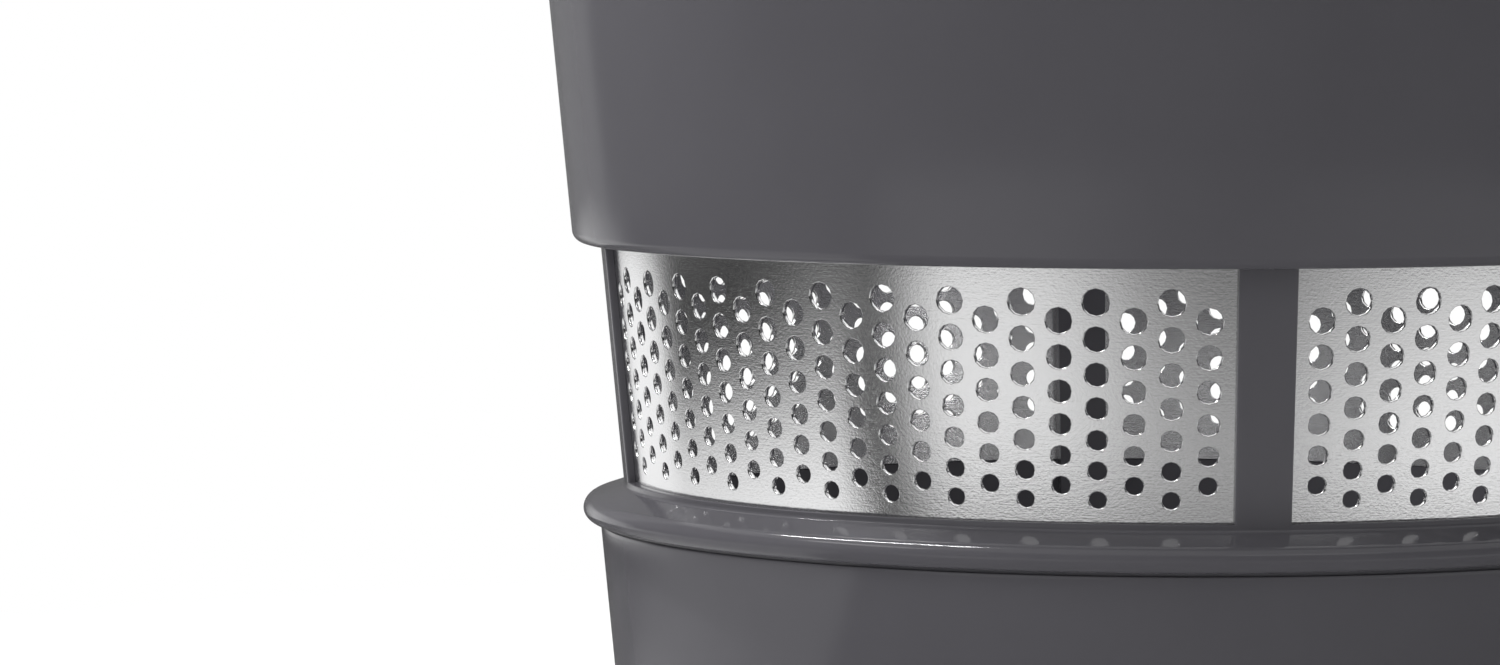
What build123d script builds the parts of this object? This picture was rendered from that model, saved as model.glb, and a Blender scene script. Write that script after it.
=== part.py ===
# Strainer basket of a slow juicer: a tapered plastic frame that carries a band of perforated
# stainless sheet. Millimetres, +Z up, Z is the axis of the basket, the foot rim stands on Z = 0.
import math
import os

from build123d import *

os.makedirs("parts", exist_ok=True)

# Tapered wall, measured square to the axis.
height = 78.0
inner_radius_at_base = 45.1
taper = 5.55
wall = 3.65
rim_chamfer = 0.9

# Band of sheet and the window it shows in.
sheet_thickness = 0.5
sheet_cover = 2.6
window_bottom = 26.8
window_top = 47.9
collar_round = 1.0
collar_round_steps = 2

# Posts that tie the collar to the lower ring, outside and inside the sheet.
post_count = 4
post_width = 4.9
post_proud = 0.7
rib_depth = 1.6
rib_top = 68.0
rib_slope = 3.0

# Bead round the outside just below the window.
rail_height = 0.7
bead_nose_radius = 1.3
bead_reach = 52.5
bead_middle = 23.9
bead_top_angle = 70.0
bead_steps = 4

# Floor with the hub that the auger turns in and the slot the pulp leaves by.
floor_height = 3.0
floor_thickness = 3.0
hub_bore_radius = 11.0
hub_wall = 3.0
hub_top = 17.0
outlet_inner_radius = 22.0
outlet_outer_radius = 37.0
outlet_angle = 56.0

# Perforation: staggered columns whose holes and pitch shrink downwards.
columns_round = 52
columns_under_post = 2
first_row_drop = 2.9
first_pitch = 3.08
stagger_drop = 1.54
pitch_shrink = 0.046
hole_diameter_top = 2.3
hole_shrink = 0.048
bottom_margin = 1.5
hole_sides = 4

slope = math.tan(math.radians(taper))
column_pitch = 360.0 / columns_round
post_pitch = 360.0 / post_count


def inner_wall(z):
    return inner_radius_at_base + slope * z


def outer_wall(z):
    return inner_wall(z) + wall


def sheet_face(z):
    return inner_wall(z) + sheet_thickness


def post_face(z):
    return sheet_face(z) + post_proud


def point(radius, z):
    return Vector(radius, 0, z)


def ring(points, angle=360.0, start=0.0):
    section = Face(Wire([Line(a, b) for a, b in zip(points, points[1:] + points[:1])]))
    return Rot(0, 0, start) * revolve(section, Axis.Z, angle)


def post_angle():
    middle = post_face((window_bottom + window_top) / 2)
    return 2 * math.degrees(math.asin(post_width / 2 / middle))


def arc_points(centre, radius, start, end, steps):
    # Points of a round, drawn with a few straight steps.
    turns = [math.radians(start + (end - start) * k / steps) for k in range(steps + 1)]
    return [centre + radius * Vector(math.cos(turn), 0, math.sin(turn)) for turn in turns]


def outline():
    # Closed section of the whole wall, from the top rim down the outside and back up the inside.
    rail_foot = window_bottom - rail_height
    bead_under = bead_middle - bead_nose_radius
    sheet_low = window_bottom - sheet_cover
    sheet_high = window_top + sheet_cover
    floor_top = floor_height + floor_thickness
    hub_radius = hub_bore_radius + hub_wall
    rim = height - rim_chamfer
    collar_centre = point(outer_wall(window_top + collar_round) - collar_round, window_top + collar_round)
    nose_centre = point(bead_reach - bead_nose_radius, bead_middle)
    return [
        point(inner_wall(height) + rim_chamfer, height),
        point(outer_wall(height) - rim_chamfer, height),
        point(outer_wall(rim), rim),
        *arc_points(collar_centre, collar_round, 0, -90, collar_round_steps),
        point(post_face(window_top), window_top),
        point(post_face(rail_foot), rail_foot),
        *arc_points(nose_centre, bead_nose_radius, bead_top_angle, -90, bead_steps),
        point(outer_wall(bead_under), bead_under),
        point(outer_wall(0), 0),
        point(inner_wall(0), 0),
        point(inner_wall(floor_height), floor_height),
        point(hub_bore_radius, floor_height),
        point(hub_bore_radius, hub_top),
        point(hub_radius, hub_top),
        point(hub_radius, floor_top),
        point(inner_wall(floor_top), floor_top),
        point(inner_wall(sheet_low), sheet_low),
        point(sheet_face(sheet_low), sheet_low),
        point(sheet_face(sheet_high), sheet_high),
        point(inner_wall(sheet_high), sheet_high),
        point(inner_wall(rim), rim),
    ]


def windows():
    # One sector of the band between each two posts.
    span = post_pitch - post_angle()
    block = [
        point(1, window_bottom),
        point(outer_wall(height) + 5, window_bottom),
        point(outer_wall(height) + 5, window_top),
        point(1, window_top),
    ]
    return [ring(block, span, k * post_pitch + post_angle() / 2) for k in range(post_count)]


def ribs():
    # Inner half of each post, standing on the floor and sloped off at the top.
    foot = floor_height + floor_thickness
    section = [
        point(inner_wall(foot), foot),
        point(inner_wall(foot) - rib_depth, foot),
        point(inner_wall(rib_top - rib_slope) - rib_depth, rib_top - rib_slope),
        point(inner_wall(rib_top), rib_top),
    ]
    return [ring(section, post_angle(), k * post_pitch - post_angle() / 2) for k in range(post_count)]


def outlet():
    # Arc slot through the floor, halfway between two posts.
    slot = [
        point(outlet_inner_radius, floor_height - 1),
        point(outlet_outer_radius, floor_height - 1),
        point(outlet_outer_radius, floor_height + floor_thickness + 1),
        point(outlet_inner_radius, floor_height + floor_thickness + 1),
    ]
    return ring(slot, outlet_angle, 1.5 * post_pitch - outlet_angle / 2)


def basket_frame():
    body = ring(outline()) - windows()
    return body + ribs() - outlet()


def hole_rows(first):
    # Depths below the top row of one column's holes.
    last = window_top - first_row_drop - window_bottom - bottom_margin
    depths = [first]
    while depths[-1] + first_pitch - pitch_shrink * depths[-1] < last:
        depths.append(depths[-1] + first_pitch - pitch_shrink * depths[-1])
    return depths


def hole_cutter(depth):
    # Few-sided punch of the same area as the round hole, square to the sheet at one height.
    z = window_top - first_row_drop - depth
    radius = (hole_diameter_top - hole_shrink * depth) / 2
    corner = radius * math.sqrt(2 * math.pi / (hole_sides * math.sin(2 * math.pi / hole_sides)))
    lean = math.radians(taper)
    across = Plane(point(sheet_face(z), z), x_dir=(0, 1, 0), z_dir=(math.cos(lean), 0, -math.sin(lean)))
    return extrude(across * RegularPolygon(corner, hole_sides), 3 * sheet_thickness, both=True)


def sheet_quarter():
    # Sheet from one post to the next, one flat facet per hole column. The flats of the inside lie
    # on the inner wall, the corners of the outside on the sheet's face.
    low = window_bottom - sheet_cover
    high = window_top + sheet_cover
    reach = 1 / math.cos(math.pi / columns_round)
    facets = columns_round // post_count
    ends = []
    for z in (low, high):
        turns = [math.radians(k * column_pitch) for k in range(facets + 1)]
        outside = [(sheet_face(z) * math.cos(t), sheet_face(z) * math.sin(t), z) for t in turns]
        inside = [(reach * inner_wall(z) * math.cos(t), reach * inner_wall(z) * math.sin(t), z) for t in turns]
        ends.append(Wire.make_polygon(outside + inside[::-1], close=True))
    return Solid.make_loft(ends, ruled=True)


def perforated_screen():
    full = [hole_cutter(depth) for depth in hole_rows(0.0)]
    offset = [hole_cutter(depth) for depth in hole_rows(stagger_drop)]
    in_window = columns_round // post_count - columns_under_post
    cutters = []
    for column in range(in_window):
        turn = post_pitch / 2 + (column - (in_window - 1) / 2) * column_pitch
        for cutter in offset if column % 2 == 0 else full:
            cutters.append(Rot(0, 0, turn) * cutter)
    quarter = sheet_quarter() - cutters
    return quarter + [Rot(0, 0, k * post_pitch) * quarter for k in range(1, post_count)]


export_step(basket_frame(), "parts/basket_frame.step")
export_step(perforated_screen(), "parts/perforated_screen.step")
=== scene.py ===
import math

import bmesh
import bpy
from mathutils import Matrix, Vector


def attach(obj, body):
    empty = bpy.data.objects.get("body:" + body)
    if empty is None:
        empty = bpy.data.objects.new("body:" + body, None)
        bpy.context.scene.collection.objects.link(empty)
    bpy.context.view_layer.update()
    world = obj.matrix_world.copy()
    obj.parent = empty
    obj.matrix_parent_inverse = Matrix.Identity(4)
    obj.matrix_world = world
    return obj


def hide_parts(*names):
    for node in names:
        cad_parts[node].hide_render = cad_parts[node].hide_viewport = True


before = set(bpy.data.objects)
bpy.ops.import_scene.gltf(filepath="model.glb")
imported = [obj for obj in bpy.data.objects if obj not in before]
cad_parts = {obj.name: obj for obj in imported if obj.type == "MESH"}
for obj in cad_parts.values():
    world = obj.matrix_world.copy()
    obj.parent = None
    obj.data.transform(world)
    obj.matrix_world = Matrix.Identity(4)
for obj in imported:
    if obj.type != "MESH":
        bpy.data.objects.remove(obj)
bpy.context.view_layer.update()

mm = 0.001
scene = bpy.context.scene
scene.view_settings.view_transform = "Standard"

# the tapered wall that every piece follows, millimetres and degrees
wallShape = {"innerRadius": 45.1, "taper": 5.55, "wall": 3.65, "sheet": 0.5, "postProud": 0.7,
             "windowBottom": 26.8, "windowTop": 47.9, "sheetCover": 2.6}
wallSlope = math.tan(math.radians(wallShape["taper"]))
sheetLow = wallShape["windowBottom"] - wallShape["sheetCover"]
sheetHigh = wallShape["windowTop"] + wallShape["sheetCover"]


def innerWall(z):
    return wallShape["innerRadius"] + wallSlope * z


def outerWall(z):
    return innerWall(z) + wallShape["wall"]


def sheetFace(z):
    return innerWall(z) + wallShape["sheet"]


def postFace(z):
    return sheetFace(z) + wallShape["postProud"]


# shader maths: a socket that takes + - * / with sockets or numbers
class Flow:
    def __init__(self, finish, socket):
        self.finish = finish
        self.socket = socket

    def sum(self, operation, first, second):
        return self.finish.add("ShaderNodeMath", {"operation": operation}, {0: first, 1: second})

    def __add__(self, other): return self.sum("ADD", self, other)
    def __radd__(self, other): return self.sum("ADD", other, self)
    def __sub__(self, other): return self.sum("SUBTRACT", self, other)
    def __rsub__(self, other): return self.sum("SUBTRACT", other, self)
    def __mul__(self, other): return self.sum("MULTIPLY", self, other)
    def __rmul__(self, other): return self.sum("MULTIPLY", other, self)
    def __truediv__(self, other): return self.sum("DIVIDE", self, other)
    def __rtruediv__(self, other): return self.sum("DIVIDE", other, self)


class Finish:
    def __init__(self, name, tree=None):
        if tree is None:
            self.material = bpy.data.materials.new(name)
            self.material.use_nodes = True
            tree = self.material.node_tree
        self.tree = tree
        self.nodes = tree.nodes

    def link(self, value, socket):
        if isinstance(value, Flow):
            self.tree.links.new(value.socket, socket)
        else:
            socket.default_value = value

    # any node: its type, its settings, then its sockets' values or links
    def add(self, kind, settings=None, inputs=None, out=0):
        node = self.nodes.new(kind)
        for key, value in (settings or {}).items():
            if key == "stops":
                ramp = node.color_ramp
                while len(ramp.elements) < len(value):
                    ramp.elements.new(0.5)
                for element, (place, colour) in zip(ramp.elements, value):
                    element.position = place
                    element.color = colour
            else:
                setattr(node, key, value)
        for key, value in (inputs or {}).items():
            self.link(value, node.inputs[key])
        return Flow(self, node.outputs[out])

    def shader(self, **values):
        node = self.nodes["Principled BSDF"]
        for key, value in values.items():
            self.link(value, node.inputs[key.replace("_", " ")])

    def place(self):
        return self.add("ShaderNodeTexCoord", out=3)

    def noise(self, vector, scale, detail, rough=0.5):
        return self.add("ShaderNodeTexNoise", {}, {"Vector": vector, "Scale": scale, "Detail": detail,
                                                   "Roughness": rough})

    def bump(self, height, strength, depth):
        return self.add("ShaderNodeBump", {}, {"Strength": strength, "Distance": depth, "Height": height})

    def rise(self, value, start, end, low=0.0, high=1.0, **settings):
        return self.add("ShaderNodeMapRange", settings, {"Value": value, "From Min": start, "From Max": end,
                                                         "To Min": low, "To Max": high})

    def mixColour(self, factor, first, second):
        return self.add("ShaderNodeMix", {"data_type": "RGBA"}, {0: factor, 6: first, 7: second}, out=2)


def meshPiece(bm, name, finish):
    mesh = bpy.data.meshes.new(name)
    bm.to_mesh(mesh)
    bm.free()
    piece = bpy.data.objects.new(name, mesh)
    scene.collection.objects.link(piece)
    piece.data.materials.append(finish.material)
    return piece


# turns live modifiers into the mesh itself
def settle(piece):
    bpy.context.view_layer.update()
    graph = bpy.context.evaluated_depsgraph_get()
    mesh = bpy.data.meshes.new_from_object(piece.evaluated_get(graph))
    piece.modifiers.clear()
    piece.data = mesh


def smoothPiece(piece, sharpAngle):
    for face in piece.data.polygons:
        face.use_smooth = True
    piece.data.set_sharp_from_angle(angle=math.radians(sharpAngle))


# closed section of (radius, height, round, steps) points, turned about the axis
def turnedShell(section, steps, sweep=360.0, start=0.0):
    bm = bmesh.new()
    corners = [bm.verts.new((point[0] * mm, 0, point[1] * mm)) for point in section]
    for one, two in zip(corners, corners[1:] + corners[:1]):
        bm.edges.new((one, two))
    for corner, point in zip(corners, section):
        if len(point) > 2:
            bmesh.ops.bevel(bm, geom=[corner], offset=point[2] * mm, offset_type="OFFSET", segments=point[3],
                            profile=0.5, affect="VERTICES", material=-1)
    if sweep < 360:
        bmesh.ops.contextual_create(bm, geom=bm.edges[:])
    bmesh.ops.rotate(bm, verts=bm.verts[:], cent=(0, 0, 0), matrix=Matrix.Rotation(math.radians(start), 3, "Z"))
    bmesh.ops.spin(bm, geom=bm.verts[:] + bm.edges[:] + bm.faces[:], cent=(0, 0, 0), axis=(0, 0, 1),
                   angle=math.radians(sweep), steps=steps, use_merge=sweep >= 360)
    bmesh.ops.remove_doubles(bm, verts=bm.verts[:], dist=1e-7)
    bmesh.ops.recalc_face_normals(bm, faces=bm.faces[:])
    return bm


def joinShell(target, shell):
    mesh = bpy.data.meshes.new("shell")
    shell.to_mesh(mesh)
    shell.free()
    target.from_mesh(mesh)
    bpy.data.meshes.remove(mesh)


plasticTone = {"dark": (0.071, 0.069, 0.077, 1), "light": (0.0835, 0.0815, 0.0905, 1), "rough": 0.09,
               "cloudScale": 60.0, "cloudRough": 0.05, "grainScale": 5200.0, "grainRough": 0.06,
               "bump": 0.12, "bumpDepth": 0.00003, "sheen": 0.2}


def plasticFinish():
    t = plasticTone
    finish = Finish("satinPlastic")
    place = finish.place()
    cloud = finish.noise(place, t["cloudScale"], 3.0)
    grain = finish.noise(place, t["grainScale"], 2.0, 0.6)
    finish.shader(Base_Color=finish.mixColour(cloud, t["dark"], t["light"]),
                  Roughness=t["rough"] + t["grainRough"] * (grain - 0.5) + t["cloudRough"] * (cloud - 0.5),
                  Normal=finish.bump(grain, t["bump"], t["bumpDepth"]))
    finish.shader(IOR=1.5, Specular_IOR_Level=t["sheen"])
    return finish


steelTone = {"dark": (0.72, 0.72, 0.725, 1), "light": (0.95, 0.95, 0.955, 1), "rough": 0.145,
             "brushStretch": (1.0, 1.0, 14.0), "brushScale": 700.0, "brushTone": 0.45, "brushRough": 0.14,
             "brushHeight": 0.7, "speckScale": 4200.0, "speckTone": 0.55, "speckRough": 0.16,
             "speckHeight": 1.2, "bump": 0.22, "bumpDepth": 0.00004}


# brush marks run round the band, specks lie between them
def steelFinish():
    t = steelTone
    finish = Finish("brushedSteel")
    place = finish.place()
    drawn = finish.add("ShaderNodeMapping", {}, {"Vector": place, "Scale": t["brushStretch"]})
    brush = finish.noise(drawn, t["brushScale"], 4.0, 0.65)
    speck = finish.noise(place, t["speckScale"], 2.0, 0.6)
    tone = t["brushTone"] * brush + t["speckTone"] * speck
    height = t["brushHeight"] * brush + t["speckHeight"] * speck
    finish.shader(Base_Color=finish.mixColour(tone, t["dark"], t["light"]),
                  Roughness=t["rough"] + t["brushRough"] * (brush - 0.5) + t["speckRough"] * (speck - 0.5),
                  Normal=finish.bump(height, t["bump"], t["bumpDepth"]))
    finish.shader(Metallic=1.0)
    return finish


# crease: depth, height and edge rounding; outlet: inner and outer radius, sweep and middle, degrees;
# beadShare: how much of each bead corner its rounding takes up
mouldedFrame = {"height": 78.0, "rimRound": 1.1, "collarRound": 1.0, "turns": 288,
                "postCount": 4, "postWidth": 4.9, "postEdge": 0.22, "postFoot": 0.4, "postCap": 1.2,
                "ribDepth": 1.6, "ribTop": 68.0, "ribSlope": 3.0, "ribRound": 1.5, "arcSteps": 10,
                "railTop": 26.6, "railHeight": 0.6, "railEdge": 0.14, "railFillet": 0.3,
                "beadReach": 52.5, "beadMiddle": 23.9, "beadRound": 1.28, "beadLean": 35, "beadUnder": 22.85,
                "beadShare": 0.985, "crease": (0.25, 0.34, 0.12), "creaseHold": 0.4,
                "footOuter": 0.5, "footInner": 0.4, "floorHeight": 3.0, "floorThickness": 3.0,
                "floorFillet": 1.6, "hubRadius": 11.0, "hubWall": 3.0, "hubTop": 17.0, "boreEdge": 0.5,
                "hubEdge": 0.7, "hubFillet": 1.2, "outlet": (22.0, 37.0, 56.0, 135.0),
                "outletFoot": 0.5, "outletSteps": 48, "sharpAngle": 30}


# a post's two long outer edges
def longEdges(post):
    squareAngle, leastHeight, slack = 1.2, 0.01, 0.1
    found = []
    for edge in post.edges:
        one, two = [vert.co for vert in edge.verts]
        if edge.calc_face_angle(0) > squareAngle and abs(one.z - two.z) > leastHeight \
                and one.xy.length > (postFace(one.z / mm) - slack) * mm:
            found.append(edge)
    return found


def buildFrame(finish):
    s = mouldedFrame
    low, high = wallShape["windowBottom"], wallShape["windowTop"]
    top, rail, railFoot = s["height"], s["railTop"], s["railTop"] - s["railHeight"]
    floor, floorTop = s["floorHeight"], s["floorHeight"] + s["floorThickness"]
    reach, beadUnder, (creaseDeep, creaseTall, creaseEdge) = s["beadReach"], s["beadUnder"], s["crease"]
    creaseFoot = beadUnder - creaseTall
    hold = creaseFoot - s["creaseHold"]  # keeps the crease from bending the skirt's shading
    beadCrown = s["beadMiddle"] + s["beadRound"] * math.tan(math.radians(s["beadLean"]))
    hubOuter = s["hubRadius"] + s["hubWall"]
    collar = turnedShell([
        (innerWall(top), top, s["rimRound"], 5), (outerWall(top), top, s["rimRound"], 5),
        (outerWall(high), high, s["collarRound"], 7), (sheetFace(high), high),
        (sheetFace(sheetHigh), sheetHigh), (innerWall(sheetHigh), sheetHigh)], s["turns"])
    lower = turnedShell([
        (sheetFace(rail), rail), (postFace(rail), rail, s["railEdge"], 3),
        (postFace(railFoot), railFoot, s["railFillet"], 4),
        (reach, beadCrown, s["beadShare"] * (beadCrown - s["beadMiddle"]), 8),
        (reach, beadUnder, s["beadShare"] * (s["beadMiddle"] - beadUnder), 9),
        (outerWall(beadUnder) - creaseDeep, beadUnder), (outerWall(creaseFoot) - creaseDeep, creaseFoot),
        (outerWall(creaseFoot), creaseFoot, creaseEdge, 3), (outerWall(hold), hold),
        (outerWall(0), 0, s["footOuter"], 4), (innerWall(0), 0, s["footInner"], 3), (innerWall(floor), floor),
        (s["hubRadius"], floor), (s["hubRadius"], s["hubTop"], s["boreEdge"], 4),
        (hubOuter, s["hubTop"], s["hubEdge"], 4), (hubOuter, floorTop, s["hubFillet"], 5),
        (innerWall(floorTop), floorTop, s["floorFillet"], 6),
        (innerWall(sheetLow), sheetLow), (sheetFace(sheetLow), sheetLow)], s["turns"])
    print("turned the collar and the lower ring")

    piece = meshPiece(lower, "mouldedFrame", finish)
    inside, outside, sweep, middle = s["outlet"]
    under, over = s["outletFoot"], floorTop + 1
    slot = meshPiece(turnedShell([(inside, under), (outside, under), (outside, over), (inside, over)],
                                 s["outletSteps"], sweep, middle - sweep / 2), "slotCutter", finish)
    cut = piece.modifiers.new("slot", "BOOLEAN")
    cut.operation, cut.solver, cut.object = "DIFFERENCE", "EXACT", slot
    settle(piece)
    bpy.data.objects.remove(slot)

    bm = bmesh.new()
    bm.from_mesh(piece.data)
    joinShell(bm, collar)
    postTurn = 2 * math.degrees(math.asin(s["postWidth"] / 2 / postFace((low + high) / 2)))
    foot, cap = rail - s["postFoot"], high + s["postCap"]
    depth, ribTop, ribBend = s["ribDepth"], s["ribTop"], s["ribTop"] - s["ribSlope"]
    for k in range(s["postCount"]):
        start = k * 360 / s["postCount"] - postTurn / 2
        post = turnedShell([(sheetFace(foot), foot), (postFace(foot), foot),
                            (postFace(cap), cap), (sheetFace(cap), cap)], s["arcSteps"], postTurn, start)
        bmesh.ops.bevel(post, geom=longEdges(post), offset=s["postEdge"] * mm, segments=3, profile=0.5,
                        affect="EDGES", material=-1)
        joinShell(bm, post)
        joinShell(bm, turnedShell([
            (innerWall(floorTop), floorTop), (innerWall(floorTop) - depth, floorTop),
            (innerWall(ribBend) - depth, ribBend, s["ribRound"], 5), (innerWall(ribTop), ribTop)],
            s["arcSteps"], postTurn, start))
    bm.to_mesh(piece.data)
    bm.free()
    smoothPiece(piece, s["sharpAngle"])
    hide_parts("basket_frame")
    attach(piece, "root")
    print("moulded frame:", len(piece.data.polygons), "faces")


steelBand = {"columns": 100, "posts": 4, "blank": 2, "firstDrop": 2.9, "firstPitch": 3.08, "stagger": 1.54,
             "pitchShrink": 0.046, "holeTop": 2.3, "holeShrink": 0.048, "bottomMargin": 1.5,
             "sides": 12, "lip": 0.09, "lipAngle": 50, "weld": 3e-6, "coneShare": 0.9}


# depths of one column's holes below the top row
def holeRows(first):
    s = steelBand
    last = wallShape["windowTop"] - s["firstDrop"] - wallShape["windowBottom"] - s["bottomMargin"]
    depths = [first]
    while depths[-1] + s["firstPitch"] - s["pitchShrink"] * depths[-1] < last:
        depths.append(depths[-1] + s["firstPitch"] - s["pitchShrink"] * depths[-1])
    return depths


# one hole in its six-cornered patch of sheet, at turn degrees round the axis
def holeCell(bm, turn, half, top, middle, bottom, hole, radius):
    def spot(angle, z):
        a = math.radians(turn + angle)
        return Vector((sheetFace(z) * math.cos(a), sheetFace(z) * math.sin(a), z)) * mm

    corners = [bm.verts.new(spot(a, z)) for a, z in
               ((-half, top), (half, top), (half, middle), (half, bottom), (-half, bottom), (-half, middle))]
    rim = [bm.edges.new(pair) for pair in zip(corners, corners[1:] + corners[:1])]
    border = []
    for edge in rim:
        made = bmesh.ops.subdivide_edges(bm, edges=[edge], cuts=1)
        border += [e for e in made["geom_split"] if isinstance(e, bmesh.types.BMEdge)]
    flat = (Matrix.Rotation(math.radians(turn), 4, "Z")
            @ Matrix.Translation((sheetFace(hole) * mm, 0, hole * mm))
            @ Matrix.Rotation(math.radians(90 + wallShape["taper"]), 4, "Y"))
    ring = bmesh.ops.create_circle(bm, cap_ends=False, radius=radius * mm, segments=steelBand["sides"],
                                   matrix=flat)
    ringEdges = list({edge for vert in ring["verts"] for edge in vert.link_edges})
    bmesh.ops.bridge_loops(bm, edges=border + ringEdges)


# sheet faces shade as the plain cone, so only the hole lips turn the light
def coneNormals(piece):
    taper, share = math.radians(wallShape["taper"]), steelBand["coneShare"]
    normals = []
    for vert in piece.data.vertices:
        out = vert.co.xy.normalized() * math.cos(taper)
        cone = Vector((out.x, out.y, -math.sin(taper)))
        lean = vert.normal.dot(cone)
        normals.append(cone if lean > share else -cone if lean < -share else vert.normal.copy())
    piece.data.normals_split_custom_set_from_vertices(normals)


def buildBand(finish):
    s = steelBand
    pitch = 360 / s["columns"]
    perPost = s["columns"] // s["posts"]
    inWindow = perPost - s["blank"]
    topRow = wallShape["windowTop"] - s["firstDrop"]
    full, offset = holeRows(0.0), holeRows(s["stagger"])
    levels = [topRow + s["stagger"]]
    for k, depth in enumerate(full):
        levels.append(topRow - depth)
        if k < len(offset):
            levels.append(topRow - offset[k])
    levels.append(2 * levels[-1] - levels[-2])

    def strip(turn, depths, firstLevel):
        bm = bmesh.new()
        for k, depth in enumerate(depths):
            a = firstLevel + 2 * k
            radius = (s["holeTop"] - s["holeShrink"] * depth) / 2
            holeCell(bm, turn, pitch / 2, levels[a], levels[a + 1], levels[a + 2], topRow - depth, radius)
        return bm

    def copies(bm, count, step):
        bmesh.ops.spin(bm, geom=bm.verts[:] + bm.edges[:] + bm.faces[:], cent=(0, 0, 0), axis=(0, 0, 1),
                       angle=math.radians(step * count), steps=count, use_duplicate=True)

    def atHeight(bm, z):
        return [edge for edge in bm.edges if edge.is_boundary
                and all(abs(vert.co.z - z * mm) < 1e-6 for vert in edge.verts)]

    # draws new rows of sheet from the open edge at one height to each height in turn
    def rows(bm, start, heights):
        for z in heights:
            grown = bmesh.ops.extrude_edge_only(bm, edges=atHeight(bm, start))["geom"]
            for item in grown:
                if isinstance(item, bmesh.types.BMVert):
                    item.co.z = z * mm
                    item.co.xy *= sheetFace(z) * mm / item.co.xy.length
            start = z

    firstTurn = 180 / s["posts"] - (inWindow - 1) / 2 * pitch
    bm = strip(firstTurn, offset, 1)
    rows(bm, levels[1], [(levels[0] + levels[1]) / 2, levels[0]])
    rows(bm, levels[-2], [(levels[-1] + levels[-2]) / 2, levels[-1]])
    copies(bm, (inWindow - 1) // 2, 2 * pitch)
    others = strip(firstTurn + pitch, full, 0)
    copies(others, (inWindow - 3) // 2, 2 * pitch)
    joinShell(bm, others)
    bmesh.ops.remove_doubles(bm, verts=bm.verts[:], dist=s["weld"])
    print("punched one window:", len(bm.faces), "faces")

    # plain sheet behind the post, then the other quarters
    edgeTurn = math.radians(firstTurn + (inWindow - 0.5) * pitch)
    side = [edge for edge in bm.edges if edge.is_boundary
            and all(abs(math.atan2(v.co.y, v.co.x) - edgeTurn) < 1e-4 for v in edge.verts)]
    for k in range(s["blank"]):
        grown = bmesh.ops.extrude_edge_only(bm, edges=side)["geom"]
        verts = [item for item in grown if isinstance(item, bmesh.types.BMVert)]
        bmesh.ops.rotate(bm, verts=verts, cent=(0, 0, 0), matrix=Matrix.Rotation(math.radians(pitch), 3, "Z"))
        side = [item for item in grown if isinstance(item, bmesh.types.BMEdge)
                and all(vert in verts for vert in item.verts)]
    copies(bm, s["posts"] - 1, 360 / s["posts"])
    bmesh.ops.remove_doubles(bm, verts=bm.verts[:], dist=s["weld"])
    rows(bm, levels[0], [sheetHigh])
    rows(bm, levels[-1], [sheetLow])
    for vert in bm.verts:  # every point back onto the taper
        vert.co.xy *= sheetFace(vert.co.z / mm) * mm / vert.co.xy.length
    bmesh.ops.recalc_face_normals(bm, faces=bm.faces[:])
    bm.faces.ensure_lookup_table()
    if bm.faces[0].normal.xy.dot(bm.faces[0].calc_center_median().xy) < 0:
        bmesh.ops.reverse_faces(bm, faces=bm.faces[:])

    piece = meshPiece(bm, "perforatedBand", finish)
    thick = piece.modifiers.new("thickness", "SOLIDIFY")
    thick.thickness, thick.offset = wallShape["sheet"] * mm, -1
    lip = piece.modifiers.new("lips", "BEVEL")
    lip.width, lip.segments = s["lip"] * mm, 1
    lip.limit_method, lip.angle_limit = "ANGLE", math.radians(s["lipAngle"])
    settle(piece)
    smoothPiece(piece, 180)
    coneNormals(piece)
    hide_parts("perforated_screen")
    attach(piece, "root")
    print("steel band:", len(piece.data.polygons), "faces")


buildFrame(plasticFinish())
buildBand(steelFinish())

# studio: white sweep, soft lamps, the camera of the photograph. Lamps: place, size, power;
# places in the camera's own directions: right, towards the camera, up
studio = {"cameraTurn": -9.79, "cameraReach": 543.2, "cameraHeight": 72.2, "lens": 144.0, "sensor": 36.0,
          "aimRight": -414.4, "aimDown": 362.0, "focus": 6000.0, "skyLight": 0.50,
          "floorSize": 4.0, "floorTone": (0.86, 0.86, 0.86, 1), "floorFade": (0.09, 0.18, 0.55, 1.0),
          "lamps": (("leftLamp", (-1.10, 0.35, 0.70), (0.6, 0.8), 8.0),
                    ("frontLamp", (0.60, 0.90, 0.80), (0.6, 0.6), 1.7),
                    ("topLamp", (0.05, -0.10, 0.90), (0.3, 0.3), 0.4)),
          "lampAim": (0, 0, 0.04),
          "stripLamp": ((-0.345, -0.17, 0.45), (-0.175, 0.075, 0.45), 0.012, 2.2)}

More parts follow.
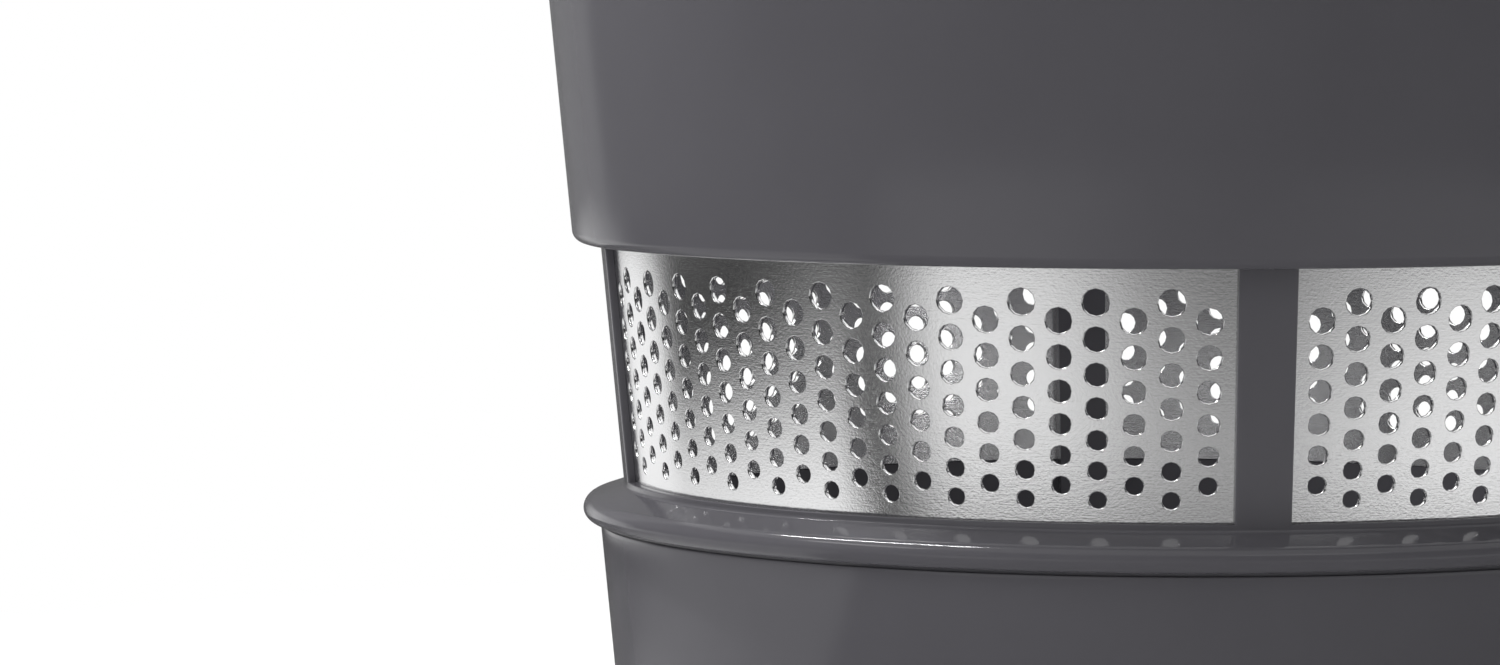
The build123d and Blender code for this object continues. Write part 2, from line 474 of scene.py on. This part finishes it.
# glowing cards round the basket, seen only by mirror rays: painted reflections on the steel and plastic, none
# brighter than the white background; brightness at each turn from the camera's side, degrees, left is minus;
# rises are heights in metres
tent = {"radius": 0.140, "height": 0.110, "inner": 0.050, "gap": 0.0004, "steps": 64,
        "bandRise": (0.006, 0.021), "collarRise": (0.029, 0.036), "leftLift": (-112, -122, 0.005),
        # leftFoot, footFade and the foot tone: painted shade, a dark band along the wall's foot on the left
        "leftFoot": (-95, -142, 0.0085), "footFade": 0.0015, "footShadeTone": (0.1, 0.1, 0.1, 1),
        "low": ((-180, 0.1), (-142, 0.1), (-130, 1.0), (-60.5, 1.0), (-57, 0.6), (-54, 0.02), (-50, 0.08),
                (-38, 0.85), (-33, 0.95), (-18, 0.88), (0, 0.55), (12, 0.45), (28, 0.78), (45, 1.0),
                (120, 1.0), (180, 0.1)),
        "high": ((-180, 0.15), (-142, 0.15), (-130, 1.0), (-112, 1.0), (-107, 0.3), (-103, 0.06),
                 (-82, 0.04), (-70, 0.10), (-60, 0.19), (-55, 0.17), (-50, 0.12), (-45, 0.4), (-40, 0.75),
                 (-36, 0.9), (-20, 0.8), (-2, 0.32), (12, 0.2), (28, 0.42), (50, 0.7), (120, 1.0),
                 (180, 0.15)),
        "collar": ((-180, 0.15), (-140, 0.2), (-115, 0.45), (-110, 0.17), (-80, 0.1), (-60, 0.02),
                   (180, 0.02)),
        "floor": ((-180, 0.1), (-115, 0.15), (-104, 0.4), (-92, 0.7), (-74, 1.0), (-53, 1.0), (-50, 0.02),
                  (-36, 0.1), (0, 0.2), (180, 0.2))}


def buildTent(right, near):
    def share(turn):  # degrees to a part of the full turn
        return turn / 360 + 0.5

    def tone(finish, bend, key):
        stops = [(share(turn), (value, value, value, 1)) for turn, value in tent[key]]
        return finish.add("ShaderNodeValToRGB", {"stops": stops}, {"Fac": bend})

    # an emission card hidden from camera, diffuse and shadow rays: it paints reflections and lights nothing
    def glow(name, bm, shade):
        finish = Finish(name)
        finish.nodes.remove(finish.nodes["Principled BSDF"])
        place = finish.place()
        across, along = [finish.add("ShaderNodeVectorMath", {"operation": "DOT_PRODUCT"},
                                    {0: place, 1: way}, out=1) for way in (right, near)]
        bend = across.sum("ARCTAN2", across, along) / math.tau + 0.5
        light = finish.add("ShaderNodeEmission", {}, {"Color": shade(finish, place, bend), "Strength": 1.0})
        finish.link(light, finish.nodes["Material Output"].inputs["Surface"])
        card = meshPiece(bm, name, finish)
        card.visible_camera = card.visible_diffuse = card.visible_shadow = False

    # painted reflections on the wall cards: low and high bands by turn, the collar's band above them
    def wallShade(finish, place, bend):
        def climb(key):  # a height that grows from one turn to the next
            start, end, most = tent[key]
            return finish.rise(bend, share(start), share(end), 0.0, most)

        height = finish.add("ShaderNodeSeparateXYZ", {}, {0: place}, out=2)
        lift = climb("leftLift")
        bandRise, collarRise = [finish.rise(height - lift, *tent[key]) for key in ("bandRise", "collarRise")]
        # painted shade: on the left the foot of the wall is a dark band, which mirror rays see low down
        foot = finish.rise(height - climb("leftFoot"), -tent["footFade"], 0.0)
        band = finish.mixColour(bandRise, tone(finish, bend, "low"), tone(finish, bend, "high"))
        band = finish.mixColour(foot, tent["footShadeTone"], band)
        return finish.mixColour(collarRise, band, tone(finish, bend, "collar"))

    # painted reflection of the floor round the basket, darker or lighter by turn
    def floorShade(finish, place, bend):
        return tone(finish, bend, "floor")

    def ring(start, end):
        bm = bmesh.new()
        ends = [bm.verts.new((radius, 0, z)) for radius, z in (start, end)]
        bmesh.ops.spin(bm, geom=ends + [bm.edges.new(ends)], cent=(0, 0, 0), axis=(0, 0, 1), angle=math.tau,
                       steps=tent["steps"], use_merge=True)
        return bm

    corner = (tent["radius"], tent["gap"])
    glow("tentWall", ring(corner, (tent["radius"], tent["height"])), wallShade)
    glow("tentFloor", ring((tent["inner"], tent["gap"]), corner), floorShade)


# 1 for rays from the camera and for mirror and glass rays, which all see the white background
def straightRay(finish):
    camera, mirror, glass = [finish.add("ShaderNodeLightPath", out=kind) for kind in
                             ("Is Camera Ray", "Is Glossy Ray", "Is Transmission Ray")]
    return camera.sum("MAXIMUM", camera.sum("MAXIMUM", camera, mirror), glass)


def softbox(name, place, aim, size, power):
    lamp = bpy.data.lights.new(name, "AREA")
    lamp.shape, lamp.size, lamp.size_y, lamp.energy = "RECTANGLE", size[0], size[1], power
    holder = bpy.data.objects.new(name, lamp)
    holder.location = place
    holder.rotation_mode = "QUATERNION"
    holder.rotation_quaternion = (Vector(aim) - Vector(place)).to_track_quat("-Z", "Y")
    scene.collection.objects.link(holder)
    return holder


def buildStudio():
    s = studio
    up = Vector((0, 0, 1))
    bm = bmesh.new()
    bmesh.ops.create_grid(bm, x_segments=2, y_segments=2, size=s["floorSize"])
    white = Finish("sweepWhite")
    white.nodes.remove(white.nodes["Principled BSDF"])
    away = white.add("ShaderNodeVectorMath", {"operation": "LENGTH"}, {0: white.place()}, out=1)
    far = white.rise(away, *s["floorFade"], interpolation_type="SMOOTHSTEP")
    matt = white.add("ShaderNodeBsdfDiffuse", {}, {"Color": s["floorTone"]})
    glow = white.add("ShaderNodeEmission", {}, {"Color": (1, 1, 1, 1), "Strength": 1.0})
    mixed = white.add("ShaderNodeMixShader", {}, {0: straightRay(white) * far, 1: matt, 2: glow})
    white.link(mixed, white.nodes["Material Output"].inputs["Surface"])
    floor = meshPiece(bm, "studioFloor", white)

    world = bpy.data.worlds.new("studioLight")
    world.use_nodes = True
    scene.world = world
    air = Finish("air", world.node_tree)
    ground = air.nodes["Background"]
    air.link(s["skyLight"] + (1 - s["skyLight"]) * straightRay(air), ground.inputs["Strength"])
    ground.inputs["Color"].default_value = (1, 1, 1, 1)

    turn = math.radians(s["cameraTurn"])
    ahead = Vector((-math.sin(turn), math.cos(turn), 0))
    right = ahead.cross(up)

    def seen(place):
        return right * place[0] - ahead * place[1] + up * place[2]

    for name, place, size, power in s["lamps"]:
        softbox(name, seen(place), s["lampAim"], size, power)
    # thin strip overhead that draws the bright line along the bead
    start, end, width, power = s["stripLamp"]
    start, end = seen(start), seen(end)
    run = (end - start).normalized()
    strip = softbox("stripLamp", (start + end) / 2, (0, 0, 0), ((end - start).length, width), power)
    strip.rotation_quaternion = Matrix((run, up.cross(run), up)).transposed().to_quaternion()
    buildTent(right, -ahead)

    aim = ahead * s["focus"] + right * s["aimRight"] - up * s["aimDown"]
    lens = bpy.data.cameras.new("photoCamera")
    lens.sensor_width, lens.lens, lens.clip_start, lens.clip_end = s["sensor"], s["lens"], 0.01, 50
    camera = bpy.data.objects.new("photoCamera", lens)
    camera.location = up * s["cameraHeight"] * mm - ahead * s["cameraReach"] * mm
    camera.rotation_mode = "QUATERNION"
    camera.rotation_quaternion = aim.to_track_quat("-Z", "Y")
    scene.collection.objects.link(camera)
    scene.camera = camera
    print("studio ready")


buildStudio()
